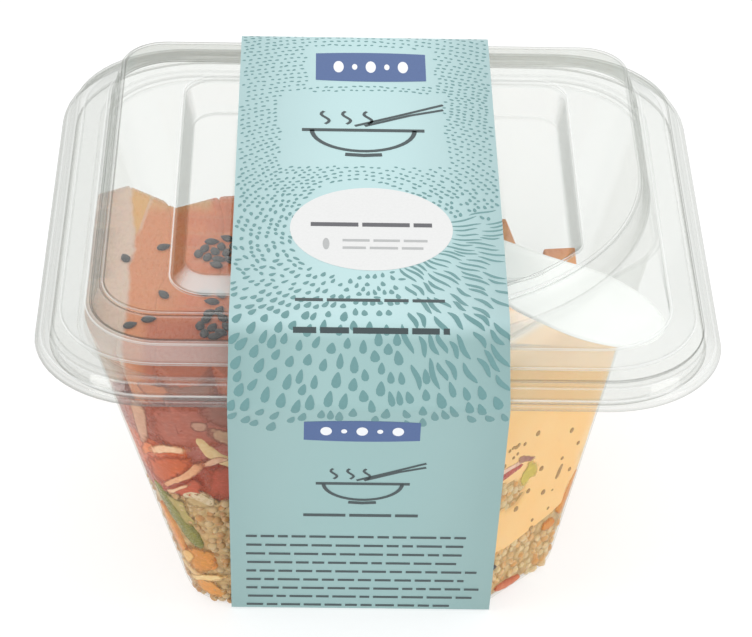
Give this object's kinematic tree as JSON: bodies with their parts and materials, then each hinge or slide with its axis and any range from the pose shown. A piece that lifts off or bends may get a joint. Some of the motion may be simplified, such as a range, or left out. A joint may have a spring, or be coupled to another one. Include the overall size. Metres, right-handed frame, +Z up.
{
  "type": "packed fish and grain salad bowl",
  "caption": "Shut ready meal: a clear tapered tub with one cut corner, a clear lid with a well, a printed card sleeve and a spoon, filled with trout, quinoa salad and dressing.",
  "frame": {"origin": "middle of the bounding box in plan, at the level of the sleeve's underside, on which the pack rests", "axes": "+Z up, the front with the cut corner at its right at -Y, +X to the right of someone who looks at the front"},
  "size_m": [0.14, 0.142, 0.0869],
  "materials": {
    "clear_plastic": "clear, glossy",
    "printed_card": "printed, satin",
    "white_plastic": "moulded, satin",
    "cooked_grain": "moist food",
    "dressing": "creamy food",
    "trout": "moist food",
    "green_pepper": "moist food",
    "orange_vegetable": "moist food",
    "red_pepper": "moist food",
    "pepper_leaf": "moist food",
    "cabbage": "moist food"
  },
  "bodies": {
    "root": {"tub": "clear_plastic", "lid": "clear_plastic", "sleeve": "printed_card", "spoon": "white_plastic", "quinoa_salad": "cooked_grain", "quinoa_patch": "cooked_grain", "dressing": "dressing", "trout_low_left": "trout", "trout_bright": "trout", "trout_left": "trout", "trout_low_right": "trout", "trout_middle_right": "trout", "trout_high_right": "trout", "trout_top_pale": "trout", "trout_top_left": "trout", "trout_top_middle": "trout", "trout_top_right": "trout", "green_pepper_strip": "green_pepper", "orange_pepper_strip": "orange_vegetable", "orange_pepper_piece": "orange_vegetable", "carrot_piece": "orange_vegetable", "carrot_piece_low": "orange_vegetable", "carrot_piece_left": "orange_vegetable", "carrot_piece_right": "orange_vegetable", "red_pepper_strip": "red_pepper", "red_pepper_piece": "red_pepper", "pepper_leaf": "pepper_leaf", "cabbage_shred_low": "cabbage", "cabbage_shred_middle": "cabbage", "cabbage_shred_top": "cabbage"}
  },
  "joints": []
}
